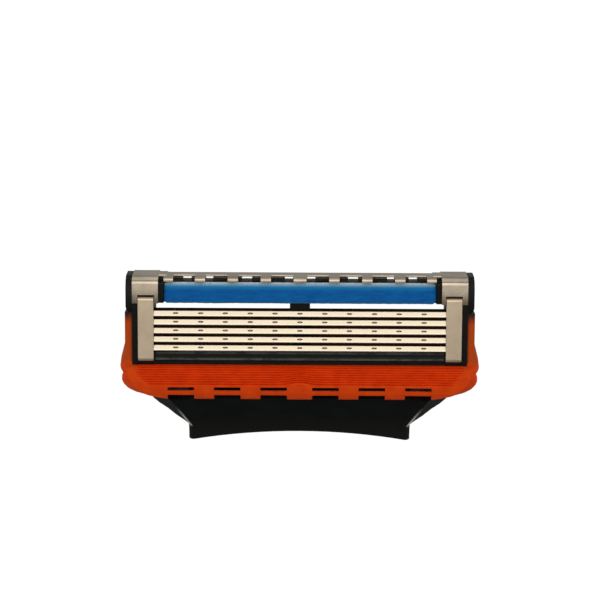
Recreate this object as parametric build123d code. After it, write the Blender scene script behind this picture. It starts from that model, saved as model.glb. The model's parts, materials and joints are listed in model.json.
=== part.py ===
"""Five-blade shaving cartridge with a rear trimmer, on its pivoting connector.

Two working frames are used, both with X along the blades:
  head frame       y is the depth behind the shaving plane, z the height above the blade stack's centre
  connector frame  z runs up the socket's axis from the centre of its mouth, y towards the back
The exported row frame has its origin at the centre of the connector's mouth, with -Y out of the
shaving face and +Z from the connector to the cap. All sizes are in millimetres.
"""
from build123d import *
import os
from math import cos, radians, sin

# Blades and their bent supports
BLADE_COUNT = 5
BLADE_PITCH = 1.01
BLADE_TILT = 22.0
BLADE_WIDTH = 0.68
BLADE_THICK = 0.10
BLADE_BEVEL = 0.20
BLADE_HALF = 18.6
STACK_EDGE_Z = -0.345           # edge of the middle blade
SUPPORT_THICK = 0.15
SUPPORT_START = 0.18            # from the cutting edge, along the blade
SUPPORT_LEG_Z = 0.40            # underside of the leg above the cutting edge
SUPPORT_DEPTH = 2.65
SUPPORT_HALF = 18.45
BLADE_TRAVEL = 0.25

# Housing
RAIL_HALF = 16.85
BLOCK_HALF = 19.4
WALL_HALF = 20.15
WALL_FOOT_Z = 2.1               # the plain side wall ends here and the soft grip begins
HOUSING_BACK_Y = 4.3
CAP_FRONT_Y = 1.15
CAP_LOW_Z = 3.18
CAP_TOP_Z = 5.45
CAP_BACK_Y = 4.45
RIDGE_TOP_Z = 5.90
LOW_RAIL_TOP_Z = -2.60
GUARD_TOP_Z = -4.05
BASE_FRONT_Y = 1.3
BASE_BACK_Y = 3.3
BASE_LOW_Z = -6.75
POST_HALF = 1.17
POST_BACK_Y = 3.8
POCKET_HALF = 18.78
POCKET_Y = 0.82
SLOT_GAP = 0.06
FINGER_THICK = 0.30
CORNER_R = 0.74

# Lubricating strip
STRIP_HALF = 15.7
STRIP_LOW_Z = 3.18
STRIP_TOP_Z = 5.53
STRIP_LOW_Y = 0.18
STRIP_TOP_Y = 0.52

# Blade-retaining clips
CLIP_INNER_X = 16.90
CLIP_OUTER_X = 18.72
CLIP_TOP_Z = 3.95
CLIP_LOW_Z = -3.58
CLIP_THICK = 0.30
CLIP_FRONT_Y = -0.32
CLIP_BEND_R = 0.38
CLIP_CRIMP = 1.0

# Trimmer bracket and blade, on the back of the cap
SHEET = 0.20
BRACKET_HALF = 19.4
BRACKET_INNER_X = 16.38
BRACKET_TOP_Z = 6.12
BRACKET_BACK_Y = 4.70
BRACKET_END_RISE = 0.20
BRACKET_LOW_Z = 4.35
TAB_WIDTH = 1.2
TAB_FRONT_Y = 0.66
TAB_LOW_Z = 5.60
TAB_BEND_Z = 6.05
TAB_BEND_R = 0.28
BROW_Z = 5.45
BROW_BACK_Y = 1.15
ROOF_FRONT_Y = 2.6             # front edge of the roof between its tabs
CAP_LEAF_Z = 3.17
TAB_X = (0.0, 3.96, 7.77, 11.57, 15.28)
RINSE_Z = (5.42, 5.75)
RINSE_SLOTS = ((1.30, 0.96), (6.18, 1.22), (10.55, 0.90), (13.14, 1.06))
TRIM_HALF = 15.6
TRIM_EDGE_Z = 3.72
TRIM_TOP_Z = 5.05
COMB_PITCH = 1.56
COMB_TOOTH = 0.62
COMB_Z = (2.95, 3.55)
COMB_TIP_Y = 5.0

# Soft guard and side grips
GUARD_LOW_Z = -8.43
GUARD_BACK_Y = 1.75
GRIP_HALF = 20.25
FIN_COUNT = 8
FIN_PITCH = 0.29
FIN_FIRST_Z = -4.44
FIN_GROOVE = 0.12
FIN_DEPTH = 0.26
NOTCH_X = (3.02, 8.43, 13.85)
NOTCH_HALF = 1.55
SLOT_Z = (-7.30, -6.84)
LEDGE_LOW_Z = -7.84
BOSS_R = 1.7
BOSS_Z = -7.55

# Pivot: curved arms of the connector turn in curved slots of the housing
PIVOT_Y = 0.80
PIVOT_Z = -5.70
PIVOT_RANGE = 40.0
ARM_INNER_R = 2.15
ARM_OUTER_R = 2.75
ARM_ANGLES = (-36.0, 42.0)
NECK_ANGLES = (-36.0, -22.0)
NECK_END_R = 5.6
BEARING_GAP = 0.05
BEARING_WALL_R = 3.4
ARM_X = (14.6, 16.6)
SLOT_X = (14.45, 16.75)
CHEEK_X = (14.05, 17.05)

# Connector
SOCKET_TILT = 20.0
MOUTH_Y = 9.7
MOUTH_Z = -13.02
MOUTH_HALF_X = 13.15
MOUTH_HALF_Y = 3.8
MOUTH_CORNER_R = 0.5
SOCKET_HALF_X = 10.8
SOCKET_HALF_Y = 3.05
SOCKET_CORNER_R = 1.2
SOCKET_DEPTH = 5.2
COLLAR_Z = 1.65
CROWN_Z = 6.7
WING_HALF = 17.7
LIP_RISE = 1.2
PLUNGER_HOLE = (3.2, 1.8)
WING_FOLD = (-0.527, 0.774, 0.352)   # into the wing, square to the face that falls back from the front


def prism_x(points, x0, x1):
    """Outline in the y-z plane, carried from x0 to x1."""
    face = make_face(Plane.YZ * Polyline(*points, close=True))
    return Pos(x0, 0, 0) * extrude(face, amount=x1 - x0, dir=(1, 0, 0))


def prism_y(outline, y0, y1):
    """Outline in the x-z plane, given as points or a wire, carried from y0 to y1."""
    wire = outline if isinstance(outline, (Wire, Curve)) else Polyline(*outline, close=True)
    face = make_face(Plane((0, y0, 0), x_dir=(1, 0, 0), z_dir=(0, -1, 0)) * wire)
    return extrude(face, amount=y1 - y0, dir=(0, 1, 0))


def block(x, y, z):
    """A box between pairs of limits."""
    size = [b - a for a, b in (x, y, z)]
    centre = [(a + b) / 2 for a, b in (x, y, z)]
    return Pos(*centre) * Box(*size)


def both(shape):
    """The shape with its mirror image across the middle plane."""
    return shape + mirror(shape, about=Plane.YZ)


def ring_sector(radii, angles, x):
    """Part of a ring about the pivot axis; angles run from the back (+y) towards the cap (+z)."""
    size = angles[1] - angles[0]
    centre = (PIVOT_Y, PIVOT_Z)
    outer = CenterArc(centre, radii[1], angles[0], size)
    if radii[0] > 0:
        inner = CenterArc(centre, radii[0], angles[0], size)
        edges = [outer, Line(outer @ 1, inner @ 1), inner, Line(inner @ 0, outer @ 0)]
    else:
        edges = [outer, Line(outer @ 1, centre), Line(centre, outer @ 0)]
    face = Plane.YZ * make_face(edges)
    return Pos(x[0], 0, 0) * extrude(face, amount=x[1] - x[0], dir=(1, 0, 0))


def edge_z(i):
    """Height of a blade's cutting edge; blade 0 is the one next to the guard."""
    return STACK_EDGE_Z + (i - BLADE_COUNT // 2) * BLADE_PITCH


def on_blade(i, along, out):
    """Point given along the blade from its edge, and out of its front face."""
    tilt = radians(BLADE_TILT)
    return (along * sin(tilt) - out * cos(tilt), edge_z(i) + along * cos(tilt) + out * sin(tilt))


def blade(i):
    half = BLADE_THICK / 2
    outline = [(0, 0), (BLADE_BEVEL, half), (BLADE_WIDTH, half), (BLADE_WIDTH, -half), (BLADE_BEVEL, -half)]
    return prism_x([on_blade(i, s, n) for s, n in outline], -BLADE_HALF, BLADE_HALF)


def support_corner(i, out, height):
    """Where the line parallel to the blade at a given offset reaches a height above the edge."""
    along = (height - out * sin(radians(BLADE_TILT))) / cos(radians(BLADE_TILT))
    return on_blade(i, along, out)


def blade_support(i):
    top, under = -BLADE_THICK / 2, -BLADE_THICK / 2 - SUPPORT_THICK
    leg_low = edge_z(i) + SUPPORT_LEG_Z
    leg_high = leg_low + SUPPORT_THICK
    outline = [
        on_blade(i, SUPPORT_START, top),
        support_corner(i, top, SUPPORT_LEG_Z + SUPPORT_THICK),
        (SUPPORT_DEPTH, leg_high),
        (SUPPORT_DEPTH, leg_low),
        support_corner(i, under, SUPPORT_LEG_Z),
        on_blade(i, SUPPORT_START, under),
    ]
    return prism_x(outline, -SUPPORT_HALF, SUPPORT_HALF)


def leg_slots(x, floor_y):
    """Clearance for the five support legs between two x limits, down to a depth."""
    slots = []
    for i in range(BLADE_COUNT):
        low = edge_z(i) + SUPPORT_LEG_Z - SLOT_GAP
        high = edge_z(i) + SUPPORT_LEG_Z + SUPPORT_THICK + SLOT_GAP
        slots.append(block(x, (0, floor_y), (low, high)))
    return slots


def spring_fingers():
    """Slots round each finger that leave it as a tongue under the end of a support leg."""
    rest = SUPPORT_DEPTH + BLADE_TRAVEL + 0.05
    cuts = []
    for i in range(BLADE_COUNT):
        low = edge_z(i) + SUPPORT_LEG_Z - 0.16
        high = low + SUPPORT_THICK + 0.32
        under = rest + FINGER_THICK
        cuts.append(block((RAIL_HALF + 0.3, 18.6), (under, HOUSING_BACK_Y), (low, high)))
        cuts.append(block((RAIL_HALF + 0.3, RAIL_HALF + 0.55), (rest - 0.1, under + 0.1), (low, high)))
    return cuts


def clip():
    """Bent strip over the ends of the blades on the +X side, crimped behind the housing."""
    back = HOUSING_BACK_Y + CLIP_THICK
    t = CLIP_THICK
    outline = [
        (CLIP_FRONT_Y, CLIP_LOW_Z), (back, CLIP_LOW_Z),
        (back, CLIP_LOW_Z + CLIP_CRIMP), (HOUSING_BACK_Y, CLIP_LOW_Z + CLIP_CRIMP),
        (HOUSING_BACK_Y, CLIP_LOW_Z + t), (CLIP_FRONT_Y + t, CLIP_LOW_Z + t),
        (CLIP_FRONT_Y + t, CLIP_TOP_Z - t), (HOUSING_BACK_Y, CLIP_TOP_Z - t),
        (HOUSING_BACK_Y, CLIP_TOP_Z - CLIP_CRIMP), (back, CLIP_TOP_Z - CLIP_CRIMP),
        (back, CLIP_TOP_Z), (CLIP_FRONT_Y, CLIP_TOP_Z),
    ]
    body = prism_x(outline, CLIP_INNER_X, CLIP_OUTER_X)
    corners = body.edges().filter_by(Axis.X).sort_by(Axis.Y)[:2]
    return fillet(corners, CLIP_BEND_R)


def brow(top, inset):
    """Curved front of an end cap, from its leaf to its top, at a distance inside the outer face."""
    points = [
        (inset, BROW_Z), (0.11 + 0.95 * inset, BROW_Z + 0.33 - 0.3 * inset),
        (0.48 + 0.6 * inset, top - 0.27 - 0.8 * inset), (BROW_BACK_Y, top - 0.05 - inset),
    ]
    curve = Spline(*points, tangents=[(0, 1), (1, 0.12)])
    return Polyline(*[curve @ (k / 8) for k in range(9)])


def end_cap():
    """Folded cap over the +X end of the housing: front leaf, curved brow, flat top and back wall."""
    top = BRACKET_TOP_Z + BRACKET_END_RISE
    outer, inner = brow(top, 0), brow(top, SHEET)
    back = BRACKET_BACK_Y
    leaf = Polyline(inner @ 0, (SHEET, CAP_LEAF_Z), (0, CAP_LEAF_Z), outer @ 0)
    shell = Polyline(
        outer @ 1, (back, top), (back, BRACKET_LOW_Z), (back - SHEET, BRACKET_LOW_Z),
        (back - SHEET, top - SHEET), inner @ 1)
    face = Plane.YZ * make_face([outer, inner, leaf, shell])
    cap = Pos(BRACKET_INNER_X, 0, 0) * extrude(face, amount=BRACKET_HALF - BRACKET_INNER_X, dir=(1, 0, 0))
    arch = (CAP_LEAF_Z - 0.1, CLIP_TOP_Z + 0.2)
    return cap - block((CLIP_INNER_X - 0.06, CLIP_OUTER_X + 0.06), (-0.5, 0.6), arch)


def trimmer_bracket():
    """Sheet-metal bracket: a long roof with tabs over the strip, and an end cap on each side."""
    low = BRACKET_TOP_Z - SHEET
    roof_profile = [
        (TAB_FRONT_Y, TAB_LOW_Z), (TAB_FRONT_Y, TAB_BEND_Z), (1.50, BRACKET_TOP_Z + 0.03),
        (BRACKET_BACK_Y, BRACKET_TOP_Z), (BRACKET_BACK_Y, BRACKET_LOW_Z),
        (BRACKET_BACK_Y - SHEET, BRACKET_LOW_Z), (BRACKET_BACK_Y - SHEET, low), (1.56, low + 0.03),
        (TAB_FRONT_Y + SHEET, TAB_BEND_Z - SHEET + 0.02), (TAB_FRONT_Y + SHEET, TAB_LOW_Z),
    ]
    roof = prism_x(roof_profile, -BRACKET_INNER_X, BRACKET_INNER_X)
    bend = roof.edges().filter_by(Axis.X).group_by(Axis.Y)[0].sort_by(Axis.Z)[-1]
    roof = fillet(bend, TAB_BEND_R)
    gaps = []
    edges = [(a + TAB_WIDTH / 2, b - TAB_WIDTH / 2) for a, b in zip(TAB_X, TAB_X[1:])]
    edges[0] = (edges[0][0] + 0.15, edges[0][1])
    edges.append((TAB_X[-1] + TAB_WIDTH / 2 - 0.1, BRACKET_INNER_X))
    for a, b in edges:
        gaps.append(block((a, b), (0.3, ROOF_FRONT_Y), (5.2, BRACKET_TOP_Z + 0.1)))
    for x, width in RINSE_SLOTS:
        gaps.append(block((x - width / 2, x + width / 2), (4.2, 5.0), RINSE_Z))
    roof -= both(Part() + gaps)
    step_top = BRACKET_TOP_Z + BRACKET_END_RISE / 2
    step = block((BRACKET_INNER_X - 0.9, BRACKET_INNER_X), (2.0, BRACKET_BACK_Y), (low, step_top))
    return roof + both(end_cap() + step)


def trimmer_blade():
    front, back = BRACKET_BACK_Y, BRACKET_BACK_Y + BLADE_THICK
    outline = [
        (front, TRIM_EDGE_Z + BLADE_BEVEL), ((front + back) / 2, TRIM_EDGE_Z),
        (back, TRIM_EDGE_Z + BLADE_BEVEL), (back, TRIM_TOP_Z), (front, TRIM_TOP_Z),
    ]
    return prism_x(outline, -TRIM_HALF, TRIM_HALF)


def lubricating_strip():
    outline = [
        (STRIP_LOW_Y + 0.15, STRIP_LOW_Z), (STRIP_LOW_Y, STRIP_LOW_Z + 0.2),
        (STRIP_TOP_Y, STRIP_TOP_Z - 0.55), (CAP_FRONT_Y, STRIP_TOP_Z), (CAP_FRONT_Y, STRIP_LOW_Z),
    ]
    return prism_x(outline, -STRIP_HALF, STRIP_HALF)


def cap_rail():
    outline = [
        (CAP_FRONT_Y, CAP_LOW_Z), (2.6, CAP_LOW_Z), (3.2, COMB_Z[0]), (CAP_BACK_Y, COMB_Z[0]),
        (CAP_BACK_Y, CAP_TOP_Z), (CAP_FRONT_Y, CAP_TOP_Z),
    ]
    rail = prism_x(outline, -RAIL_HALF, RAIL_HALF)
    rail += block((-RAIL_HALF, RAIL_HALF), (2.0, 4.3), (CAP_TOP_Z, RIDGE_TOP_Z))
    rail += both(block((STRIP_HALF + 0.06, RAIL_HALF), (0.35, CAP_FRONT_Y), (CAP_LOW_Z, CAP_TOP_Z)))
    slots = [
        block((x - width / 2, x + width / 2), (1.0, 5.0), (RINSE_Z[0], RIDGE_TOP_Z + 0.1))
        for x, width in RINSE_SLOTS
    ]
    rail -= both(Part() + slots)
    teeth = int(2 * TRIM_HALF / COMB_PITCH)
    for k in range(teeth + 1):
        x = (k - teeth / 2) * COMB_PITCH
        tooth = [
            (CAP_BACK_Y - 0.1, COMB_Z[0]), (COMB_TIP_Y, COMB_Z[0] + 0.15),
            (COMB_TIP_Y, COMB_Z[1] - 0.1), (CAP_BACK_Y - 0.1, COMB_Z[1]),
        ]
        rail += prism_x(tooth, x - COMB_TOOTH / 2, x + COMB_TOOTH / 2)
    return rail


def low_rail():
    outline = [
        (0.80, LOW_RAIL_TOP_Z), (0.72, LOW_RAIL_TOP_Z - 0.28), (0.72, LOW_RAIL_TOP_Z - 0.74),
        (0.62, LOW_RAIL_TOP_Z - 0.98), (0.42, LOW_RAIL_TOP_Z - 1.06), (0.42, GUARD_TOP_Z),
        (BASE_BACK_Y, GUARD_TOP_Z), (BASE_BACK_Y, LOW_RAIL_TOP_Z - 0.25), (3.0, LOW_RAIL_TOP_Z),
    ]
    return prism_x(outline, -RAIL_HALF, RAIL_HALF)


def base_outline():
    """Front view of the hard base under the soft guard."""
    half = [
        (BLOCK_HALF, GUARD_TOP_Z), (BLOCK_HALF, -4.6), (18.3, -6.0), (16.9, BASE_LOW_Z),
        (0, BASE_LOW_Z),
    ]
    return half + [(-x, z) for x, z in reversed(half[:-1])]


def end_block():
    """Hard end of the frame on the +X side, with the pocket that holds the blade ends."""
    outline = [
        (0.25, GUARD_TOP_Z), (0.25, BROW_Z), (0.75, 5.80), (BROW_BACK_Y + 0.4, BRACKET_TOP_Z - 0.02),
        (CAP_BACK_Y, BRACKET_TOP_Z), (CAP_BACK_Y, BRACKET_LOW_Z - 0.02),
        (HOUSING_BACK_Y, BRACKET_LOW_Z - 0.02), (HOUSING_BACK_Y, GUARD_TOP_Z),
    ]
    body = prism_x(outline, RAIL_HALF, BLOCK_HALF)
    body += block((POCKET_HALF, BLOCK_HALF), (0.02, 0.3), (GUARD_TOP_Z, CAP_LEAF_Z - 0.05))
    body -= block((RAIL_HALF - 1, POCKET_HALF), (-1, POCKET_Y), (LOW_RAIL_TOP_Z - 0.2, CAP_LOW_Z))
    wall = [
        (0.10, WALL_FOOT_Z), (0.10, 5.0), (0.50, 5.78), (1.3, 6.23), (HOUSING_BACK_Y, 6.28),
        (HOUSING_BACK_Y, WALL_FOOT_Z),
    ]
    wall = prism_x(wall, BLOCK_HALF, WALL_HALF)
    corner = wall.edges().filter_by(Axis.Y).sort_by(Axis.Z)[-1]
    return body + fillet(corner, CORNER_R)


def bearing():
    """Journal and hooked outer wall on the +X side, in which the connector's curved arm turns."""
    lug = ring_sector((0, BEARING_WALL_R), (ARM_ANGLES[0] - 2, 88), CHEEK_X)
    bridge = block(CHEEK_X, (BASE_FRONT_Y, BASE_BACK_Y), (-4.2, LOW_RAIL_TOP_Z))
    return lug + bridge


def bearing_cuts():
    """Curved slot, and the opening that lets the arm's neck swing, on the +X side."""
    radii = (ARM_INNER_R - BEARING_GAP, ARM_OUTER_R + BEARING_GAP)
    start = ARM_ANGLES[0] - 3
    slot = ring_sector(radii, (start, ARM_ANGLES[1] + PIVOT_RANGE + 2), SLOT_X)
    swing = ring_sector((radii[0], 7.0), (start, NECK_ANGLES[1] + PIVOT_RANGE + 2), SLOT_X)
    return slot + swing


def housing(carried):
    """Hard frame: cap rail, low rail, ends, middle post, base, bearings; carried parts are let in."""
    body = cap_rail() + low_rail()
    base = prism_y(base_outline(), BASE_FRONT_Y, BASE_BACK_Y)
    base -= block((-30, 30), (2.6, 5), (-9, -5.6))
    body += base
    body += both(end_block())
    post = block((-POST_HALF, POST_HALF), (POCKET_Y, POST_BACK_Y), (LOW_RAIL_TOP_Z, CAP_LOW_Z))
    cam = prism_x([(3.2, -1.9), (3.9, -2.6), (4.0, -3.4), (3.8, -4.3), (3.2, -4.9)], -2.6, 2.6)
    body += post + cam
    body += both(bearing())
    floor_y = SUPPORT_DEPTH + BLADE_TRAVEL + 0.05
    body -= both(bearing_cuts())
    body -= leg_slots((-RAIL_HALF, RAIL_HALF), floor_y)
    body -= both(Part() + leg_slots((RAIL_HALF - 0.1, SUPPORT_HALF + 0.1), floor_y))
    body -= both(Part() + spring_fingers())
    for x in NOTCH_X:
        body -= both(block((x - NOTCH_HALF, x + NOTCH_HALF), (0, 6), (-9, SLOT_Z[1])))
    for part in carried:
        body -= part
    return body


def guard_contour():
    """Front view of the soft guard and its side strips, closed across the top."""
    corner = [
        (GRIP_HALF, -4.8), (19.97, -5.9), (19.5, -6.65), (18.8, -7.30), (17.6, -7.95),
        (15.9, GUARD_LOW_Z),
    ]
    right = Spline(corner, tangents=[(0, -1), (-1, 0)])
    left = mirror(right, about=Plane.YZ)
    return Curve() + [
        right,
        Line(right @ 1, left @ 1),
        left,
        Line(left @ 0, (-GRIP_HALF, WALL_FOOT_Z)),
        Line((-GRIP_HALF, WALL_FOOT_Z), (GRIP_HALF, WALL_FOOT_Z)),
        Line((GRIP_HALF, WALL_FOOT_Z), right @ 0),
    ]


def guard_section():
    """Side view of the guard's front skin and rounded lower lip."""
    front = Spline([(0.30, GUARD_TOP_Z), (0.34, -4.6), (0.55, -6.3), (0.95, -7.6), (1.7, GUARD_LOW_Z)])
    edges = [
        front,
        Line((1.7, GUARD_LOW_Z), (GUARD_BACK_Y, GUARD_LOW_Z + 0.15)),
        Line((GUARD_BACK_Y, GUARD_LOW_Z + 0.15), (GUARD_BACK_Y, GUARD_TOP_Z)),
        Line((GUARD_BACK_Y, GUARD_TOP_Z), (0.30, GUARD_TOP_Z)),
    ]
    face = Plane.YZ * make_face(edges)
    return Pos(-BLOCK_HALF - 2, 0, 0) * extrude(face, amount=2 * BLOCK_HALF + 4, dir=(1, 0, 0))


def fin_field():
    """Front view of the finned area, closed at the top and narrowing downwards."""
    side = Spline([(19.0, GUARD_TOP_Z), (18.95, -4.9), (18.65, -5.5), (18.1, -6.2), (17.2, -6.65)])
    other = mirror(side, about=Plane.YZ)
    outline = Curve() + [side, Line(side @ 1, other @ 1), other, Line(other @ 0, side @ 0)]
    return prism_y(outline, -1, 2)


def fin_grooves():
    grooves = []
    for k in range(FIN_COUNT):
        z = FIN_FIRST_Z - k * FIN_PITCH
        skin = 0.30 + 0.11 * (abs(z) - 3.8)
        grooves.append(block((-20, 20), (-0.5, skin + FIN_DEPTH), (z - FIN_GROOVE / 2, z + FIN_GROOVE / 2)))
    return (Part() + grooves) & fin_field()


def side_grip():
    """Strip and lobes of soft grip on the +X side of the frame."""
    lobe = [(GRIP_HALF - 0.4, -1.3), (20.52, -2.3), (20.80, -3.4), (20.93, -4.5), (20.70, -5.26)]
    lower = [(20.70, -5.26), (20.80, -5.8), (20.72, -6.4), (20.35, -6.97), (19.4, -7.5), (18.2, -7.9)]
    upper_curve = Spline(lobe)
    lower_curve = Spline(lower)
    outline = Curve() + [
        upper_curve, lower_curve,
        Line(lower_curve @ 1, (18.2, -6.4)), Line((18.2, -6.4), (GRIP_HALF - 0.4, -4.4)),
        Line((GRIP_HALF - 0.4, -4.4), upper_curve @ 0),
    ]
    return prism_y(outline, 1.35, 4.1)


def guard(hard_core):
    """Soft guard moulded over the base: finned front, notched lower lip, side strips and grips."""
    front = prism_y(guard_contour(), -1, 5) & guard_section()
    strip = block((BLOCK_HALF, GRIP_HALF), (0.12, 4.1), (-4.8, WALL_FOOT_Z))
    body = front + both(strip + side_grip())
    boss = Pos(0, 0.62, BOSS_Z) * Rot(-90, 0, 0) * Cylinder(BOSS_R, 0.5)
    body += boss & block((-2, 2), (0, 3), (GUARD_LOW_Z, -5))
    body -= fin_grooves() - Pos(0, 0, BOSS_Z) * Rot(-90, 0, 0) * Cylinder(BOSS_R, 3)
    for x in NOTCH_X:
        body -= both(block((x - NOTCH_HALF, x + NOTCH_HALF), (-1, 6), SLOT_Z))
        body -= both(block((x - NOTCH_HALF, x + NOTCH_HALF), (-1, 6), (-9.5, LEDGE_LOW_Z)))
    body -= both(bearing_cuts())
    return body - hard_core


def socket_shell():
    """Connector's tubular body in the connector frame, without its wings."""
    body = extrude(Rectangle(2 * MOUTH_HALF_X, 2 * MOUTH_HALF_Y), amount=CROWN_Z)
    body = chamfer(body.edges().filter_by(Axis.X).group_by(Axis.Z)[-1], 0.9)
    return fillet(body.edges().filter_by(Axis.Z), MOUTH_CORNER_R)


def wing():
    """Flared side of the connector on the +X side, in the connector frame."""
    lower = [
        (0.0, 0.0), (0.0, 0.55), (0.6, 0.9), (1.5, 1.33), (2.5, 2.04), (3.5, 2.49), (4.2, 3.01),
        (4.55, 3.52),
    ]
    outline = [(11.0, COLLAR_Z - 0.2)] + [(MOUTH_HALF_X + x, COLLAR_Z + z) for x, z in lower]
    outline += [(WING_HALF, CROWN_Z - 0.3), (11.0, CROWN_Z - 0.3)]
    body = prism_y(outline, -MOUTH_HALF_Y, 0.8)
    corner = body.edges().filter_by(Axis.X).group_by(Axis.Z)[-1].sort_by(Axis.Y)[0]
    body = chamfer(corner, 0.9)
    fold = Plane(origin=(MOUTH_HALF_X - 0.3, -MOUTH_HALF_Y, COLLAR_Z + 0.25), z_dir=WING_FOLD)
    return split(body, fold, keep=Keep.TOP)


def arm():
    """Neck and curved bearing arm on the +X side, in the head frame."""
    curved = ring_sector((ARM_INNER_R, ARM_OUTER_R), ARM_ANGLES, ARM_X)
    neck = ring_sector((ARM_INNER_R, NECK_END_R), NECK_ANGLES, ARM_X)
    return curved + neck


def connector():
    """Connecting member in the row frame: socket for the handle, wings and bearing arms."""
    tilt = Rot(SOCKET_TILT, 0, 0)
    body = socket_shell() + both(wing())
    opening = RectangleRounded(2 * SOCKET_HALF_X, 2 * SOCKET_HALF_Y, SOCKET_CORNER_R)
    body -= extrude(opening, amount=SOCKET_DEPTH)
    body -= block((-PLUNGER_HOLE[0], PLUNGER_HOLE[0]), (-PLUNGER_HOLE[1], PLUNGER_HOLE[1]), (0, 9))
    half_chord = MOUTH_HALF_X - 0.6
    radius = (half_chord ** 2 + LIP_RISE ** 2) / (2 * LIP_RISE)
    body -= Pos(0, 0, LIP_RISE - radius) * Rot(90, 0, 0) * Cylinder(radius, 20)
    return tilt * body + HEAD_TO_ROW * both(arm())


HEAD_TO_ROW = Pos(0, -MOUTH_Y, -MOUTH_Z)


def build():
    """Every node by name, in the row frame."""
    clip_right = clip()
    clip_left = mirror(clip_right, about=Plane.YZ)
    bracket = trimmer_bracket()
    frame = housing([clip_right, clip_left, bracket])
    head = {
        "housing": frame,
        "guard_overmould": guard(frame),
        "lubricating_strip": lubricating_strip(),
        "clip_left": clip_left,
        "clip_right": clip_right,
        "trimmer_bracket": bracket,
        "trimmer_blade": trimmer_blade(),
    }
    for i in range(BLADE_COUNT):
        head[f"blade_{i + 1}"] = blade(i)
        head[f"blade_support_{i + 1}"] = blade_support(i)
    nodes = {name: HEAD_TO_ROW * shape for name, shape in head.items()}
    nodes["connector"] = connector()
    return nodes


os.makedirs("parts", exist_ok=True)
for name, shape in build().items():
    solids = shape.solids()
    print(name, len(solids), "solid(s)", round(sum(s.volume for s in solids), 3), "mm3")
    export_step(Compound(children=list(solids)) if len(solids) > 1 else solids[0], f"parts/{name}.step")
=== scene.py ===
import json
from math import cos, pi, radians, sin

import bpy
import numpy as np
from mathutils import Matrix, Vector, noise


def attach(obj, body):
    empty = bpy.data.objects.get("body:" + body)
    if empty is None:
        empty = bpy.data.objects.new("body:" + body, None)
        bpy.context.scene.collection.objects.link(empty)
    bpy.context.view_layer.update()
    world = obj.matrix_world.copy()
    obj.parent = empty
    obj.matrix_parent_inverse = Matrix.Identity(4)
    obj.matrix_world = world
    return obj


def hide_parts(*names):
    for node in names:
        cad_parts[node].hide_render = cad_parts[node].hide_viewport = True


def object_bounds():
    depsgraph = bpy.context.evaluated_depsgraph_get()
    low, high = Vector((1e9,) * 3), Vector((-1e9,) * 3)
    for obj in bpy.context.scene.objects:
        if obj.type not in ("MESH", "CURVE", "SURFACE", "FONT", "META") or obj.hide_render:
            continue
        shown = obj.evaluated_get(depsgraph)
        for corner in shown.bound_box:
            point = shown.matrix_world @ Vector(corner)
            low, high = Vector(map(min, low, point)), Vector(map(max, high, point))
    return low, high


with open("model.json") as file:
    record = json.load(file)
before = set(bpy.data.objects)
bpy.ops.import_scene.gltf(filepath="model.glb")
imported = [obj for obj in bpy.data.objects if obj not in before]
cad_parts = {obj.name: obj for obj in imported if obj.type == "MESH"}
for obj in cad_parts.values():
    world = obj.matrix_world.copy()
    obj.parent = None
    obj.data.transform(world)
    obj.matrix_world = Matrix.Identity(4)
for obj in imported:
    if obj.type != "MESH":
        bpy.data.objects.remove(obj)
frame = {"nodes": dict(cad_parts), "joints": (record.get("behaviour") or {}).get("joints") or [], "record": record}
cad_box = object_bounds()

MM = 0.001
scene = bpy.context.scene

# The head's own millimetre frame: y is the depth behind the shaving plane, z the height above
# the blade stack's centre. The pivot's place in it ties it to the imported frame.
PIVOT_Y = 0.80
PIVOT_Z = -5.70
pivot = Vector(next(j for j in frame["joints"] if j["name"] == "head_pivot")["pos_m"])
HEAD_ORIGIN = (0.0, pivot.y - PIVOT_Y * MM, pivot.z - PIVOT_Z * MM)

BLADE_COUNT = 5
BLADE_PITCH = 1.01
BLADE_TILT = radians(22.0)
BLADE_WIDTH = 0.68
BLADE_HALF_THICK = 0.05
BLADE_BEVEL = 0.20
BLADE_HALF = 18.6
STACK_EDGE_Z = -0.345

# Weld spots: their half sizes are along the blade's length and across it
WELD_PITCH = 2.87
WELD_COUNT = 13
WELD_HALF = (0.31, 0.105)
WELD_ALONG = 0.38                # from the cutting edge to the spots' middles
WELD_DENT = 0.022
WELD_BUTTON = 0.012              # rise of the middle of a spot inside its dent

RAIL_HALF = 16.85
RAIL_EDGES_Z = (-2.74, -3.46)    # the front rail's two edges, where highlights are painted

# The crease between the connector's front and a wing, in the imported frame, along which a highlight is painted
CREASE_X = 12.85
CREASE_Z = 0.49
CREASE_LEAN = 0.71

GUARD_TOP_Z = -4.05
GUARD_LOW_Z = -8.43
GUARD_SKIN = (
    (GUARD_LOW_Z, -8.20, -7.6, -6.95, -6.3, -5.4, -4.6, GUARD_TOP_Z),     # height
    (1.70, 1.35, 0.95, 0.72, 0.55, 0.42, 0.34, 0.30),                     # depth of the front skin
)
GUARD_BACK = ((GUARD_LOW_Z, -8.1, -7.4, -6.4, -5.7), (1.78, 1.62, 1.36, 1.34, 1.28))
GUARD_CONTOUR = (
    (GUARD_LOW_Z, -8.36, -8.22, -7.95, -7.30, -6.65, -5.9, -4.8),         # height
    (15.75, 16.1, 16.7, 17.6, 18.8, 19.5, 19.97, 20.25),                  # half width
)
GUARD_HALF = GUARD_CONTOUR[1][-1]
SIDE_INNER_X = 19.4
SIDE_TOP_Z = 2.1
SIDE_FRONT_Y = 0.12
SIDE_BACK_Y = 4.1
NOTCH_X = (3.02, 8.43, 13.85)
NOTCH_HALF = 1.55
SLOT_Z = (-7.30, -6.84)
LEDGE_Z = -7.84
FIXED_X = NOTCH_X[-1] + NOTCH_HALF      # beyond it the mesh columns follow the contour
FIN_PITCH = 0.29
FIN_COUNT = 8
FIN_FIRST_Z = -4.44
FIN_DEPTH = 0.30
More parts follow.
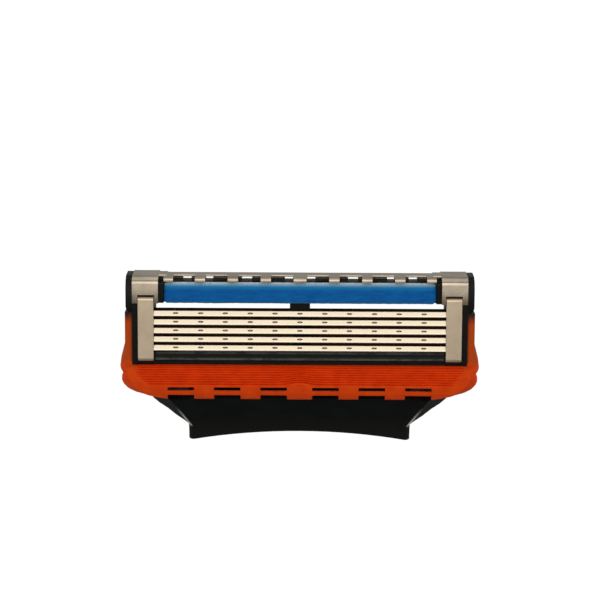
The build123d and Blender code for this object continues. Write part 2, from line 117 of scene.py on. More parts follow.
FIN_FIELD = ((-6.75, -6.65, -6.2, -5.5, -4.9, GUARD_TOP_Z), (16.8, 17.2, 18.1, 18.65, 18.95, 19.0))
BOSS_R = 1.62
BOSS_Z = -7.90
BOSS_RISE = 0.11
GRIP_LOBE = (
    (-8.1, -7.7, -7.3, -6.7, -6.2, -5.8, -5.5, -5.26, -5.0, -4.5, -4.0, -3.4, -2.3, -1.3),       # height
    (0.0, 0.20, 0.42, 0.75, 0.88, 0.82, 0.70, 0.50, 0.60, 0.68, 0.63, 0.55, 0.27, 0.0),          # swell
)

STRIP_HALF = 15.7
STRIP_Z = (3.18, 5.53)
STRIP_BEND_Z = 4.98              # above it the strip's face falls back
STRIP_BACK_Y = 1.14

# Linear colours, in pairs of a darker and a lighter tone where a finish varies
HOUSING_BLACK = ((0.0030, 0.0036, 0.0031), (0.0056, 0.0062, 0.0052))
CONNECTOR_BLACK = ((0.0030, 0.0046, 0.0046), (0.0052, 0.0074, 0.0074))
# Next: a faint tone for worn patches on the housing and for painted light at the connector's rim, then a painted
# highlight tone for the rail's edges and the connector's creases
FAINT_WEAR_AND_PAINTED_LIGHT = (0.014, 0.016, 0.011)
PAINTED_HIGHLIGHT = (0.62, 0.63, 0.58)
GUARD_ORANGE = ((0.90, 0.064, 0.0015), (1.0, 0.088, 0.0025))
# The side strips' darker orange is painted shade
GUARD_SIDE_PAINTED_SHADE = (0.60, 0.074, 0.0022)
GUARD_THIN = (0.020, 0.014, 0.010)
STRIP_BLUE = ((0.0012, 0.110, 0.42), (0.003, 0.165, 0.52))
# The strip's paler foot, upper face and crest are painted highlights
STRIP_FOOT_HIGHLIGHT = (0.10, 0.30, 0.46)
STRIP_UPPER_HIGHLIGHT = (0.012, 0.25, 0.56)
STRIP_CREST_HIGHLIGHT = (0.70, 0.80, 0.80)
BLADE_STEEL = ((0.70, 0.61, 0.47), (0.86, 0.77, 0.61))
BLADE_SPECKS = (0.62, 0.50, 0.35)
BLADE_HONED = (0.95, 0.87, 0.72)
WELD_BURN = (0.035, 0.022, 0.014)
# The supports' steel and its grazing tint are darkened as painted shade
SUPPORT_STEEL_SHADED = ((0.14, 0.095, 0.055), (0.22, 0.16, 0.10))
SUPPORT_GRAZED_SHADED = (0.20, 0.14, 0.08)
CLIP_METAL = ((0.68, 0.555, 0.40), (0.80, 0.665, 0.50))
TRIMMER_STEEL = ((0.60, 0.515, 0.40), (0.80, 0.70, 0.56))
# Painted shade for the lower edges of the bracket's front leaves
TRIMMER_PAINTED_SHADE = (0.16, 0.13, 0.085)


# ---------------------------------------------------------------- materials

def rgba(colour):
    """A colour socket as it is, or a plain colour with its alpha."""
    return colour if isinstance(colour, bpy.types.NodeSocket) else (*colour, 1)


class Nodes:
    """A material's node tree, with short calls for the nodes that the finishes share."""

    def __init__(self, name):
        self.material = bpy.data.materials.new(name)
        self.material.use_nodes = True
        self.tree = self.material.node_tree
        self.bsdf = self.tree.nodes["Principled BSDF"]
        coords = self.node("ShaderNodeTexCoord")
        self.mm = self.node("ShaderNodeVectorMath", operation="SCALE")
        self.tree.links.new(coords.outputs["Object"], self.mm.inputs[0])
        self.mm.inputs["Scale"].default_value = 1 / MM

    def node(self, kind, **settings):
        made = self.tree.nodes.new(kind)
        for key, value in settings.items():
            setattr(made, key, value)
        return made

    def put(self, socket, value):
        """Links a socket to an output, or sets its value."""
        if isinstance(value, bpy.types.NodeSocket):
            self.tree.links.new(value, socket)
        else:
            socket.default_value = value

    def grain(self, scale, stretch=(1, 1, 1), detail=4.0, rough=0.55):
        """Noise in cycles per millimetre, stretched along chosen axes."""
        squeeze = self.node("ShaderNodeVectorMath", operation="MULTIPLY")
        self.put(squeeze.inputs[0], self.mm.outputs[0])
        squeeze.inputs[1].default_value = stretch
        made = self.node("ShaderNodeTexNoise")
        self.put(made.inputs["Vector"], squeeze.outputs[0])
        made.inputs["Scale"].default_value = scale
        made.inputs["Detail"].default_value = detail
        made.inputs["Roughness"].default_value = rough
        return made.outputs["Fac"]

    def axis(self, index):
        """One object coordinate, in millimetres."""
        split = self.node("ShaderNodeSeparateXYZ")
        self.put(split.inputs[0], self.mm.outputs[0])
        return split.outputs[index]

    def head_axis(self, index):
        """One coordinate of the head's own frame, in millimetres."""
        return self.math("SUBTRACT", self.axis(index), HEAD_ORIGIN[index] / MM)

    def math(self, operation, first, second=0.0):
        made = self.node("ShaderNodeMath", operation=operation)
        self.put(made.inputs[0], first)
        self.put(made.inputs[1], second)
        return made.outputs[0]

    def product(self, *factors):
        result = factors[0]
        for factor in factors[1:]:
            result = self.math("MULTIPLY", result, factor)
        return result

    def gap(self, value, middle):
        """Distance of a value from another."""
        return self.math("ABSOLUTE", self.math("SUBTRACT", value, middle))

    def ramp(self, value, low, high, out_low=0.0, out_high=1.0):
        """A value mapped from one range to another, smoothly and clamped."""
        made = self.node("ShaderNodeMapRange", interpolation_type="SMOOTHSTEP")
        for socket, number in zip(made.inputs[:5], (value, low, high, out_low, out_high)):
            self.put(socket, number)
        return made.outputs[0]

    def blend(self, factor, first, second):
        """Two colours mixed by a factor."""
        made = self.node("ShaderNodeMix", data_type="RGBA")
        self.put(made.inputs[0], factor)
        self.put(made.inputs[6], rgba(first))
        self.put(made.inputs[7], rgba(second))
        return made.outputs[2]

    def attribute(self, name):
        made = self.node("ShaderNodeAttribute", attribute_name=name)
        return made.outputs["Fac"]

    def bump(self, *layers):
        """Bump layers, each a height, a strength and a depth in millimetres."""
        normal = None
        for height, strength, depth in layers:
            made = self.node("ShaderNodeBump")
            self.put(made.inputs["Height"], height)
            made.inputs["Strength"].default_value = strength
            made.inputs["Distance"].default_value = depth * MM
            if normal:
                self.put(made.inputs["Normal"], normal)
            normal = made.outputs[0]
        self.put(self.bsdf.inputs["Normal"], normal)

    def finish(self, colour, roughness, metallic=0.0, **more):
        self.put(self.bsdf.inputs["Base Color"], rgba(colour))
        self.put(self.bsdf.inputs["Roughness"], roughness)
        self.bsdf.inputs["Metallic"].default_value = metallic
        for key, value in more.items():
            self.put(self.bsdf.inputs[key.replace("_", " ")], value)
        return self.material


def painted_rim_and_crease_light(n):
    """Where light is painted on the connector: a weak painted light at its mouth's rim, and a strong painted
    highlight down each wing's crease.
    """
    across, y, z = n.math("ABSOLUTE", n.axis(0)), n.axis(1), n.axis(2)
    rim = n.ramp(z, -0.6, 2.2, 0.55, 0.0)
    line = n.math("ADD", n.math("MULTIPLY", n.math("SUBTRACT", z, CREASE_Z), CREASE_LEAN), CREASE_X)
    crease = n.product(
        n.ramp(n.gap(across, line), 0.03, 0.24, 1.0, 0.0),
        n.ramp(z, 3.1, 1.1),
        n.ramp(z, CREASE_Z - 0.15, CREASE_Z + 0.2),
        n.ramp(y, -4.0, -3.6, 1.0, 0.0),
        n.ramp(n.grain(5.0), 0.25, 0.5, 0.6, 1.0),
    )
    return rim, crease


def rail_wear_and_painted_highlights(n):
    """Marks on the housing: faint worn patches all over, and painted highlights along the two edges of its front
    rail.
    """
    y, z = n.head_axis(1), n.head_axis(2)
    lines = [n.ramp(n.gap(z, edge), 0.05, 0.17, 1.0, 0.0) for edge in RAIL_EDGES_Z]
    edges = n.product(
        n.math("ADD", *lines),
        n.ramp(y, 0.83, 0.90, 1.0, 0.0),
        n.ramp(n.grain(1.1, (0.5, 1, 1)), 0.35, 0.6, 0.25, 1.0),
        n.ramp(n.math("ABSOLUTE", n.axis(0)), RAIL_HALF - 0.2, RAIL_HALF, 0.14, 0.0),
    )
    return n.ramp(n.grain(0.8), 0.4, 0.7, 0.0, 0.2), edges


def moulded_black(name, tones, gloss, wear_and_painted_light):
    """Satin moulded plastic: fine spark-eroded grain, faint flow marks, worn patches, and painted light and
    highlights where the caller puts them.
    """
    n = Nodes(name)
    fine = n.grain(14.0, detail=3.0)
    flow = n.grain(0.35, (1, 1, 2.5), detail=5.0)
    n.bump((fine, 0.25, 0.012), (flow, 0.2, 0.05))
    faint, bright = wear_and_painted_light(n)
    tone = n.blend(n.ramp(flow, 0.35, 0.7), *tones)
    # Painted light: the faint tone lightens worn patches and paints light on the connector's rim; the second tone
    # is a painted highlight
    tone = n.blend(bright, n.blend(faint, tone, FAINT_WEAR_AND_PAINTED_LIGHT), PAINTED_HIGHLIGHT)
    roughness = n.ramp(n.grain(2.2), 0.3, 0.7, 0.24, 0.38)
    return n.finish(tone, roughness, IOR=1.46, Specular_IOR_Level=gloss)


def painted_leaf_shade(n):
    """Painted shade on the bracket's front leaves, darker towards their lower edges."""
    low, front = n.head_axis(2), n.head_axis(1)
    return n.product(n.ramp(low, 3.2, 4.9, 0.75, 0.0), n.ramp(front, 0.5, 0.9, 1.0, 0.0))


def brushed(name, tones, rough, stretch, bump=0.35, grazed=(1, 1, 1), painted_shade=None):
    """Rolled or ground metal: fine lines along one axis, with slow tone changes and, where given, painted shade.
    """
    n = Nodes(name)
    lines = n.grain(9.0, stretch, detail=6.0, rough=0.7)
    slow = n.grain(0.45, detail=3.0)
    n.bump((lines, bump, 0.008))
    mixed = n.math("ADD", n.math("MULTIPLY", lines, 0.6), n.math("MULTIPLY", slow, 0.5))
    tone = n.blend(n.ramp(mixed, 0.4, 0.72), *tones)
    # Painted shade darkens the tone where a mask is given
    if painted_shade:
        tone = n.blend(painted_shade(n), tone, TRIMMER_PAINTED_SHADE)
    roughness = n.ramp(lines, 0.3, 0.7, rough - 0.07, rough + 0.08)
    return n.finish(tone, roughness, 1.0, Specular_Tint=rgba(grazed))


def blade_steel():
    """Bright ground steel, with a honed edge and brown-black weld spots from mesh attributes."""
    n = Nodes("blade_steel")
    lines = n.grain(5.0, (0.5, 6, 6), detail=6.0, rough=0.75)
    specks = n.grain(9.0, detail=2.0)
    tone = n.blend(n.ramp(lines, 0.35, 0.7), *BLADE_STEEL)
    tone = n.blend(n.ramp(specks, 0.60, 0.72, 0.0, 0.35), tone, BLADE_SPECKS)
    tone = n.blend(n.attribute("weld"), tone, WELD_BURN)
    tone = n.blend(n.attribute("honed"), tone, BLADE_HONED)
    n.bump((lines, 0.12, 0.006))
    return n.finish(tone, n.ramp(lines, 0.3, 0.7, 0.24, 0.36), 1.0)


def orange_elastomer():
    """Soft moulded rubber, darker and browner up its side strips as painted shade, and fading to the black frame
    where it is thin.
    """
    n = Nodes("guard_elastomer")
    cloud = n.grain(0.8, detail=4.0)
    fine = n.grain(11.0, detail=3.0)
    z = n.head_axis(2)
    uneven_z = n.math("ADD", z, n.math("MULTIPLY", cloud, 0.8))
    orange = n.blend(n.ramp(cloud, 0.3, 0.7), *GUARD_ORANGE)
    # Painted shade: the side strips darker
    orange = n.blend(n.ramp(uneven_z, -4.4, -2.6), orange, GUARD_SIDE_PAINTED_SHADE)
    inner_edge = n.product(
        n.ramp(n.math("ABSOLUTE", n.axis(0)), SIDE_INNER_X + 0.02, SIDE_INNER_X + 0.28, 1.0, 0.0),
        n.ramp(z, GUARD_TOP_Z + 0.1, GUARD_TOP_Z + 0.6),
        0.62,
    )
    fade = n.ramp(uneven_z, SIDE_TOP_Z - 1.0, SIDE_TOP_Z + 0.35)
    tone = n.blend(fade, n.blend(inner_edge, orange, GUARD_THIN), GUARD_THIN)
    n.bump((fine, 0.18, 0.012), (cloud, 0.15, 0.05))
    return n.finish(tone, n.ramp(n.grain(3.0), 0.3, 0.7, 0.40, 0.52), IOR=1.43, Specular_IOR_Level=0.18)


def strip_gel():
    """Waxy blue polymer: drawn streaks and granules, a glossier crest, and painted highlights that make its foot,
    upper face and crest paler.
    """
    n = Nodes("strip_gel")
    streaks = n.grain(1.1, (0.6, 2, 3.0), detail=6.0, rough=0.65)
    granules = n.grain(7.0, detail=3.0)
    z = n.head_axis(2)
    crest = n.ramp(z, 5.02, 5.55)
    tone = n.blend(n.ramp(streaks, 0.3, 0.72), *STRIP_BLUE)
    # Painted highlights: the foot, upper face and crest made paler
    tone = n.blend(n.ramp(z, STRIP_Z[0] + 0.05, STRIP_Z[0] + 0.25, 0.7, 0.0), tone, STRIP_FOOT_HIGHLIGHT)
    tone = n.blend(n.ramp(z, 4.55, 5.20), tone, STRIP_UPPER_HIGHLIGHT)
    tone = n.blend(n.product(crest, n.ramp(granules, 0.3, 0.6, 0.5, 1.0)), tone, STRIP_CREST_HIGHLIGHT)
    n.bump((granules, 0.35, 0.03), (streaks, 0.3, 0.06))
    shine = n.ramp(crest, 0.0, 1.0, 0.10, 0.60)
    return n.finish(tone, n.ramp(granules, 0.3, 0.7, 0.42, 0.6), IOR=1.42, Specular_IOR_Level=shine)


ALONG_X = (1, 6, 6)
ALONG_Z = (6, 6, 0.5)
materials = {
    "housing_plastic": moulded_black("housing_plastic", HOUSING_BLACK, 0.17, rail_wear_and_painted_highlights),
    "connector_plastic": moulded_black("connector_plastic", CONNECTOR_BLACK, 0.16, painted_rim_and_crease_light),
    "guard_elastomer": orange_elastomer(),
    "strip_gel": strip_gel(),
    "blade_steel": blade_steel(),
    # The supports' darker steel is painted shade
    "support_steel": brushed("support_steel", SUPPORT_STEEL_SHADED, 0.42, ALONG_X, 0.25, SUPPORT_GRAZED_SHADED),
    "clip_metal": brushed("clip_metal", CLIP_METAL, 0.36, ALONG_Z),
    "trimmer_steel": brushed("trimmer_steel", TRIMMER_STEEL, 0.29, ALONG_Z, painted_shade=painted_leaf_shade),
}
slot_of = {s["node"]: s["material_slot"] for s in frame["record"]["subparts"]}


# ---------------------------------------------------------------- mesh helpers

def head_points(points):
    """Head-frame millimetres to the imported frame's metres."""
    return np.asarray(points, float) * MM + np.array(HEAD_ORIGIN)


def add_piece(name, points, faces, body, slot, attributes=()):
    """A smooth mesh piece that rides on a body, in the slot's finish."""
    mesh = bpy.data.meshes.new(name)
    mesh.from_pydata(head_points(points).tolist(), [], faces)
    mesh.validate()
    mesh.shade_smooth()
    for key, values in attributes:
        layer = mesh.attributes.new(key, "FLOAT", "POINT")
        layer.data.foreach_set("value", np.asarray(values, np.float32))
    mesh.materials.append(materials[slot])
    piece = bpy.data.objects.new(name, mesh)
    scene.collection.objects.link(piece)
    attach(piece, body)
    return piece


def smooth_step(value, low, high):
    t = np.clip((np.asarray(value, float) - low) / (high - low), 0, 1)
    return t * t * (3 - 2 * t)


def unique_sorted(values, gap=0.004):
    """Values in order, without near repeats."""
    kept = []
    for value in sorted(values):
        if not kept or value - kept[-1] > gap:
            kept.append(value)
    return kept


# ---------------------------------------------------------------- blades

def blade_grid_x():
    """Places along a blade: coarse between welds, fine across each one."""
    places = list(np.linspace(-BLADE_HALF, BLADE_HALF, 90))
    for k in range(WELD_COUNT):
        centre = (k - (WELD_COUNT - 1) / 2) * WELD_PITCH
        places += list(centre + np.linspace(-0.40, 0.40, 23))
    return np.array(unique_sorted(places, 0.012))


def blade_section():
    """Closed section, as distances along the blade and out of its face, front rows first."""
    half = BLADE_HALF_THICK
    front = [(0.0, 0.0), (0.06, 0.022), (0.13, 0.040), (BLADE_BEVEL, half)]
    front += [(s, half) for s in np.linspace(0.225, 0.56, 17)]
    front += [(BLADE_WIDTH - 0.065, half), (BLADE_WIDTH - 0.02, 0.046), (BLADE_WIDTH, 0.028)]
    back = [(BLADE_WIDTH, -0.028), (BLADE_WIDTH - 0.02, -half), (0.42, -half), (BLADE_BEVEL, -half)]
    return front, back + [(0.06, -0.022)]


def weld_amount(x, s):
    """Ring of burn and depth of dent at a point of the front face."""
    k = np.round(x / WELD_PITCH)
    k = np.clip(k, -(WELD_COUNT // 2), WELD_COUNT // 2)
    wobble = 0.012 * np.sin(k * 2.7)
    r = np.hypot((x - k * WELD_PITCH - wobble) / WELD_HALF[0], (s - WELD_ALONG) / WELD_HALF[1])
    ring = smooth_step(r, 1.15, 0.92) * (1 - 0.55 * smooth_step(r, 0.55, 0.20))
    dent = WELD_DENT * smooth_step(r, 1.05, 0.6) - WELD_BUTTON * smooth_step(r, 0.5, 0.1)
    return ring, dent


def add_blade(i):
    """A blade with its dented weld spots, in place of the plain CAD one."""
    xs = blade_grid_x()
    front, back = blade_section()
    section = front + back
    tilt_s, tilt_c = sin(BLADE_TILT), cos(BLADE_TILT)
    edge_z = STACK_EDGE_Z + (i - BLADE_COUNT // 2) * BLADE_PITCH
    points, weld, honed = [], [], []
    for row, (along, level) in enumerate(section):
        ring, dent = weld_amount(xs, along) if row < len(front) else (xs * 0, xs * 0)
        out = level - dent * (row > 3)
        y = along * tilt_s - out * tilt_c
        z = edge_z + along * tilt_c + out * tilt_s
        points += list(zip(xs, y, z))
        weld += list(ring)
        honed += [0.9 if along < BLADE_BEVEL - 0.01 else 0.0] * len(xs)
    columns, rows = len(xs), len(section)
    faces = []
    for row in range(rows):
        here, after = row * columns, (row + 1) % rows * columns
        for c in range(columns - 1):
            faces.append((here + c, here + c + 1, after + c + 1, after + c))
    faces.append(tuple(row * columns for row in range(rows)))
    faces.append(tuple(row * columns + columns - 1 for row in reversed(range(rows))))
    node = f"blade_{i + 1}"
    piece = add_piece(f"{node}_ground", points, faces, f"blade_unit_{i + 1}", "blade_steel",
                      (("weld", weld), ("honed", honed)))
    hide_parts(node)


for i in range(BLADE_COUNT):
    add_blade(i)


# ---------------------------------------------------------------- lubricating strip

def strip_edges(xs):
    """Ragged lower and upper edges at each x, with rounded ends, and how far each x is in."""
    lows, highs = [], []
    for x in xs:
        ripple = 0.03 * noise.noise((x * 1.7, 0, 3)) + 0.03 * noise.noise((x * 0.35, 5, 3))
        lows.append(STRIP_Z[0] + ripple - 0.01)
        highs.append(STRIP_Z[1] - 0.01 + 0.025 * noise.noise((x * 1.3, 9, 1)))
    inside = smooth_step(STRIP_HALF - np.abs(xs), 0.0, 0.35)
    return np.array(lows) + (1 - inside) * 0.22, np.array(highs) - (1 - inside) * 0.16, inside


def strip_front(xs, z, t, inside):
    """Depth of the strip's face along a row at a share t of its height."""
    wide = [noise.noise((x * 1.1, v * 1.6, 2)) for x, v in zip(xs, z)]
    fine = [noise.noise((x * 5, v * 6, 7)) for x, v in zip(xs, z)]
    lump = 0.022 * np.array(wide) + 0.008 * np.array(fine)
    rounding = 0.08 * np.exp(-np.abs(z - STRIP_BEND_Z) / 0.1)
    crown = 0.26 * np.exp(-t / 0.05) + 1.1 * np.maximum(z - STRIP_BEND_Z + rounding, 0)
    y = 0.20 + 0.40 * t + crown + lump + (1 - inside) * 0.10
    return np.minimum(y, STRIP_BACK_Y - 0.02)


def add_strip():
    """Strip with a crowned face, ragged edges and lumps where the polymer has swollen."""
    xs = np.linspace(-STRIP_HALF, STRIP_HALF, 260)
    lows, highs, inside = strip_edges(xs)
    points, rows, columns = [], 22, len(xs)
    for t in (row / (rows - 1) for row in range(rows)):
        z = lows + (highs - lows) * t
        points += list(zip(xs, strip_front(xs, z, t, inside), z))
    count = len(points)
    for row in (0, rows - 1):
        for x, _, z in points[row * columns:(row + 1) * columns]:
            points.append((x, STRIP_BACK_Y, z))
    faces = []
    for row in range(rows - 1):
        for c in range(columns - 1):
            a = row * columns + c
            faces.append((a, a + 1, a + columns + 1, a + columns))
    top = (rows - 1) * columns
    for c in range(columns - 1):
        low, high = count + c, count + columns + c
        faces.append((low, low + 1, c + 1, c))
        faces.append((top + c, top + c + 1, high + 1, high))
        faces.append((high, high + 1, low + 1, low))
    for c, turn in ((0, 1), (columns - 1, -1)):
        ring = [row * columns + c for row in range(rows)] + [count + columns + c, count + c]
        faces.append(tuple(ring[::turn]))
    piece = add_piece("lubricating_strip_waxy", points, faces, "head", "strip_gel")
    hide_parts("lubricating_strip")


add_strip()


# ---------------------------------------------------------------- soft guard

def profile(table, z):
    """Value of a profile, given as heights and values, at a height."""
    heights, values = table
    return float(np.interp(z, heights, values))


def guard_rows():
    """Heights of the guard's mesh rows, from the top down, close together at fins and slots."""
    rows = list(np.linspace(GUARD_TOP_Z, SIDE_TOP_Z, 30))
    rows += list(np.arange(GUARD_TOP_Z, -6.78, -FIN_PITCH / 10))
    for edge in (*SLOT_Z, LEDGE_Z):
        rows += [edge + d for d in (-0.10, -0.05, -0.02, 0, 0.02, 0.05, 0.10)]
    rows += list(np.linspace(-6.8, -8.1, 14)) + list(np.linspace(-8.1, GUARD_LOW_Z, 8))
    return np.array(unique_sorted(rows)[::-1])


def guard_fixed_columns():
    """Places across one half of the guard up to the last notch, close together at notch edges."""
    columns = list(np.linspace(0, FIXED_X, 44)) + list(np.linspace(0, 2.2, 16))
    for centre in NOTCH_X:
        for edge in (centre - NOTCH_HALF, centre + NOTCH_HALF):
            near = [edge + d for d in (-0.12, -0.06, -0.02, 0, 0.02, 0.06, 0.12)]
            columns += [x for x in near if x <= FIXED_X]
    return unique_sorted(columns)


def fin_groove(x, z):
    """Depth of the fins' grooves, which bulge up over the boss and stop at the field's edges."""
    rise = 0.34 * np.exp(-(x / 1.25) ** 2) * float(smooth_step(z, GUARD_TOP_Z, -6.6))
    phase = (z - rise - FIN_FIRST_Z) / FIN_PITCH
    groove = (0.5 + 0.5 * cos(2 * pi * phase)) ** 1.5
    inside = float(smooth_step(profile(FIN_FIELD, z) - abs(x), 0.0, 0.16))
    last = FIN_FIRST_Z - (FIN_COUNT - 1) * FIN_PITCH
    above_last = float(smooth_step(z - rise, last - 0.13, last - 0.10))
    below_top = float(smooth_step(z, GUARD_TOP_Z - 0.02, GUARD_TOP_Z - 0.20))
    return FIN_DEPTH * groove * inside * (above_last * below_top)


def guard_front_y(x, z):
    """Depth of the guard's skin: crowned profile, fins, boss and rolled edges."""
    skin = profile(GUARD_SKIN, z) if z < GUARD_TOP_Z else SIDE_FRONT_Y
    ease = float(smooth_step(z, GUARD_TOP_Z - 0.5, GUARD_TOP_Z + 0.1))
    side = float(smooth_step(abs(x), SIDE_INNER_X - 0.5, SIDE_INNER_X + 0.2))
    y = skin + (SIDE_FRONT_Y - skin) * side * ease
    boss = float(smooth_step(BOSS_R - np.hypot(x, z - BOSS_Z), -0.05, 0.10))
    if z < GUARD_TOP_Z:
        y += fin_groove(x, z) * (1 - boss)
    y -= BOSS_RISE * boss
    to_rim = profile(GUARD_CONTOUR, z) - abs(x)
    return y + 0.16 * float(1 - smooth_step(to_rim, 0.0, 0.30)) ** 2


def guard_back_y(x, z):
    """Depth of the guard's back: a thin lip in the middle, full depth behind the side grips."""
    if abs(x) > SIDE_INNER_X - 0.02 and z > -6.0:
        return SIDE_BACK_Y
    lower = profile(GUARD_BACK, z)
    corner_x = np.interp(z, (-7.6, -6.4, -4.4), (17.4, 18.2, SIDE_INNER_X))
    corner = float(smooth_step(abs(x) - corner_x, -0.1, 0.1))
    return lower + (SIDE_BACK_Y - lower) * corner * float(smooth_step(z, -7.7, -7.5))


def grip_swell(x, y, z):
    """A point of the outer rim, pushed out to the side grip's lobes."""
    lean = np.interp(z, (-8.2, -7.2, -6.2, -5.2), (0.30, 0.62, 0.9, 1.0))
    fading = 1 - 0.45 * float(smooth_step(y, 3.5, 4.1))
    swell = profile(GRIP_LOBE, z) * float(smooth_step(y, 0.95, 1.75)) * fading
    return x + swell * lean, z - swell * (1 - lean ** 2) ** 0.5


def guard_half(points, faces, turn):
    """Adds the half on one side: skin, back and rim, with slots, notches and grip lobes."""
    rows = guard_rows()
    fixed = guard_fixed_columns()
    rim = (0.0, 0.06, 0.14, 0.24, 0.30, 0.36, 0.44, 0.60, 0.80, 0.92, 1.0)
    inner_share = (SIDE_INNER_X - FIXED_X) / (GUARD_HALF - FIXED_X)
    inner_steps, outer_steps = 12, 10
    stretch = [inner_share * k / inner_steps for k in range(1, inner_steps + 1)]
    stretch += [inner_share + (1 - inner_share) * k / outer_steps for k in range(1, outer_steps + 1)]
    column_count = len(fixed) + len(stretch)
    place = {}
    for r, z in enumerate(rows):
        edge = profile(GUARD_CONTOUR, z)
        xs = fixed + [FIXED_X + share * (edge - FIXED_X) for share in stretch]
        for c, x in enumerate(xs):
            place[r, c] = (x, z)
    inner_column = len(fixed) + inner_steps - 1

    def kept(r, c):
        """Whether the cell below and right of a grid point is part of the guard."""
        x = (place[r, c][0] + place[r, c + 1][0]) / 2
        z = (place[r, c][1] + place[r + 1, c][1]) / 2
        if z > GUARD_TOP_Z:
            return c >= inner_column
        if any(abs(x - n) < NOTCH_HALF for n in NOTCH_X) and c < len(fixed) - 1:
            return not (SLOT_Z[0] < z < SLOT_Z[1] or z < LEDGE_Z)
        return True

    cells = {(r, c) for r in range(len(rows) - 1) for c in range(column_count - 1) if kept(r, c)}
    made = {}

    def vertex(r, c, level):
        key = (r, c, level)
        if key in made:
            return made[key]
        x, z = place[r, c]
        front, back = guard_front_y(x, z), guard_back_y(x, z)
        y = front + (back - front) * rim[level]
        if c == column_count - 1 and level > 0:
            x, z = grip_swell(x, y, z)
        points.append((turn * x, y, z))
        made[key] = len(points) - 1
        return made[key]

    def face(*corners):
        ids = [vertex(*corner) for corner in corners]
        faces.append(tuple(ids if turn > 0 else ids[::-1]))

    last = len(rim) - 1
    for r, c in cells:
        face((r, c, 0), (r + 1, c, 0), (r + 1, c + 1, 0), (r, c + 1, 0))
        face((r, c, last), (r, c + 1, last), (r + 1, c + 1, last), (r + 1, c, last))
        borders = (
            ((r - 1, c), (r, c + 1), (r, c)),
            ((r + 1, c), (r + 1, c), (r + 1, c + 1)),
            ((r, c - 1), (r, c), (r + 1, c)),
            ((r, c + 1), (r + 1, c + 1), (r, c + 1)),
        )
        for neighbour, a, b in borders:
            if neighbour in cells or neighbour[1] < 0:
                continue
            for level in range(last):
                face((*a, level), (*b, level), (*b, level + 1), (*a, level + 1))


def add_guard():
    """Both halves of the guard as one welded mesh, with its sharp corners kept."""
    points, faces = [], []
    guard_half(points, faces, 1)
    guard_half(points, faces, -1)
    piece = add_piece("guard_overmould_soft", points, faces, "head", "guard_elastomer")
    weld = piece.modifiers.new("Weld", "WELD")
    weld.merge_threshold = 1e-7
    sharp = piece.modifiers.new("Sharp", "EDGE_SPLIT")
    sharp.split_angle = radians(50)
    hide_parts("guard_overmould")


add_guard()


# ---------------------------------------------------------------- carried-over CAD nodes

BEVELS = {
    "housing": 0.07,
    "connector": 0.08,
    "trimmer_bracket": 0.04,
    "clip_left": 0.03,
    "clip_right": 0.03,
}
THIN_BEVEL = 0.012


def finish_node(name, node):
    """Gives a CAD node its finish, soft edges and weighted normals."""
    material = materials[slot_of[name]]
    if not node.data.materials:
        node.data.materials.append(material)
    for slot in node.material_slots:
        slot.material = material
    node.data.shade_smooth()
    weld = node.modifiers.new("Weld", "WELD")
    weld.merge_threshold = 2e-6
    bevel = node.modifiers.new("Bevel", "BEVEL")
    bevel.width = BEVELS.get(name, THIN_BEVEL) * MM
    bevel.segments = 3 if name in BEVELS else 2
    bevel.limit_method = "ANGLE"
    bevel.angle_limit = radians(32)
    bevel.miter_outer = "MITER_ARC"
    normals = node.modifiers.new("Normals", "WEIGHTED_NORMAL")
    normals.keep_sharp = True


for name, node in frame["nodes"].items():
    finish_node(name, node)


# ---------------------------------------------------------------- stage, lights and camera

STUDIO_GREY = 0.20               # what the object is lit by from all round
BACKDROP_WHITE = 1.02            # what the camera sees behind it


def floor_material():
    """Pale floor, evenly white to the eye and a soft grey bounce to the object."""
    n = Nodes("pale_floor")
    cloth = n.grain(0.02, detail=3.0)
    white = n.node("ShaderNodeEmission")
    n.put(white.inputs["Color"], n.blend(cloth, (1.0, 1.0, 1.0), (0.995, 0.995, 0.995)))
    white.inputs["Strength"].default_value = BACKDROP_WHITE
    n.finish((0.42, 0.41, 0.40), 0.9)
    path = n.node("ShaderNodeLightPath")
    mix = n.node("ShaderNodeMixShader")
    n.put(mix.inputs[0], path.outputs["Is Camera Ray"])
    n.put(mix.inputs[1], n.bsdf.outputs[0])
    n.put(mix.inputs[2], white.outputs[0])
    n.put(n.tree.nodes["Material Output"].inputs[0], mix.outputs[0])
    return n.material


FLOOR_HALF = 3.0                 # in metres, as is the drop below the object
FLOOR_DROP = 0.03
floor_mesh = bpy.data.meshes.new("floor")
floor_z = cad_box[0][2] - FLOOR_DROP
corners = [(x * FLOOR_HALF, y * FLOOR_HALF, floor_z) for x, y in ((-1, -1), (1, -1), (1, 1), (-1, 1))]
floor_mesh.from_pydata(corners, [], [(0, 1, 2, 3)])
floor_mesh.materials.append(floor_material())
floor = bpy.data.objects.new("floor", floor_mesh)
scene.collection.objects.link(floor)

world = bpy.data.worlds.new("studio")
scene.world = world
world.use_nodes = True
tree = world.node_tree
background = tree.nodes["Background"]
path = tree.nodes.new("ShaderNodeLightPath")
shade = tree.nodes.new("ShaderNodeMix")
shade.data_type = "RGBA"
shade.inputs[6].default_value = (*[STUDIO_GREY] * 3, 1)
shade.inputs[7].default_value = (*[BACKDROP_WHITE] * 3, 1)
tree.links.new(path.outputs["Is Camera Ray"], shade.inputs[0])
tree.links.new(shade.outputs[2], background.inputs["Color"])

centre = Vector((0, HEAD_ORIGIN[1], HEAD_ORIGIN[2]))


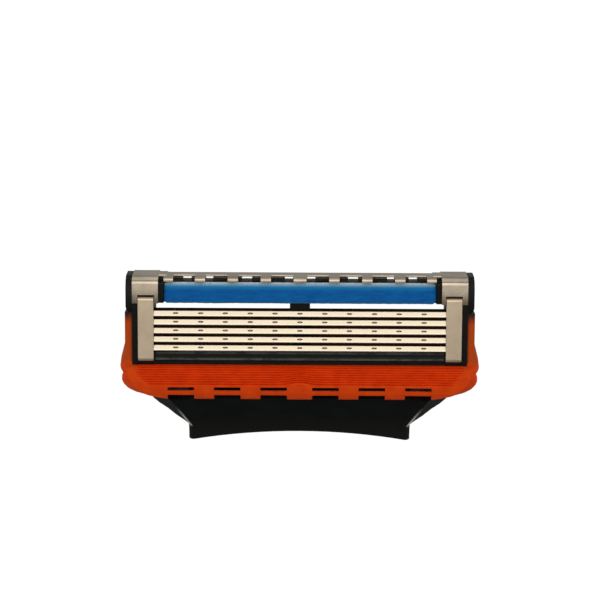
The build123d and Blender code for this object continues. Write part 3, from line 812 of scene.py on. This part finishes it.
def softbox(name, azimuth, elevation, distance, size, radiance, colour):
    """An area light facing the head, placed in degrees and metres and set by its face's brightness."""
    data = bpy.data.lights.new(name, "AREA")
    data.shape = "RECTANGLE"
    data.size, data.size_y = size
    data.energy = radiance * pi * size[0] * size[1]
    data.color = colour
    light = bpy.data.objects.new(name, data)
    a, e = radians(azimuth), radians(elevation)
    away = Vector((-sin(a) * cos(e), -cos(a) * cos(e), sin(e)))
    light.location = centre + away * distance
    light.rotation_euler = away.to_track_quat("Z", "Y").to_euler()
    scene.collection.objects.link(light)


COOL = (0.97, 0.99, 1.0)
softbox("key", 0, 24, 0.45, (0.50, 0.52), 1.13, (1.0, 0.955, 0.89))
softbox("top", 180, 78, 0.40, (0.40, 0.30), 0.45, (1.0, 0.98, 0.95))
softbox("left", 75, 20, 0.40, (0.20, 0.35), 1.1, COOL)
softbox("right", -75, 20, 0.40, (0.20, 0.35), 1.1, COOL)
softbox("rear", 180, 16, 0.45, (0.50, 0.16), 0.10, (1.0, 0.98, 0.94))
softbox("rear_left", 138, 12, 0.40, (0.22, 0.30), 1.2, COOL)
softbox("rear_right", -138, 12, 0.40, (0.22, 0.30), 1.2, COOL)

scene.view_settings.view_transform = "Standard"

VIEW_ELEVATION = radians(10.0)
VIEW_DISTANCE = 0.26
FRAME_WIDTH = 69.2 * MM
AIM_Z = 3.67
VIEW_ROLL = radians(0.3)
camera_data = bpy.data.cameras.new("camera")
camera_data.sensor_width = 36.0
camera_data.lens = 36.0 * VIEW_DISTANCE / FRAME_WIDTH
camera_data.clip_start = 0.01
camera = bpy.data.objects.new("camera", camera_data)
aim = Vector((0, HEAD_ORIGIN[1], HEAD_ORIGIN[2] + AIM_Z * MM))
camera.location = aim + Vector((0, -cos(VIEW_ELEVATION), sin(VIEW_ELEVATION))) * VIEW_DISTANCE
turn = (aim - camera.location).to_track_quat("-Z", "Y").to_matrix().to_4x4()
camera.rotation_euler = (turn @ Matrix.Rotation(VIEW_ROLL, 4, "Z")).to_euler()
scene.collection.objects.link(camera)
scene.camera = camera
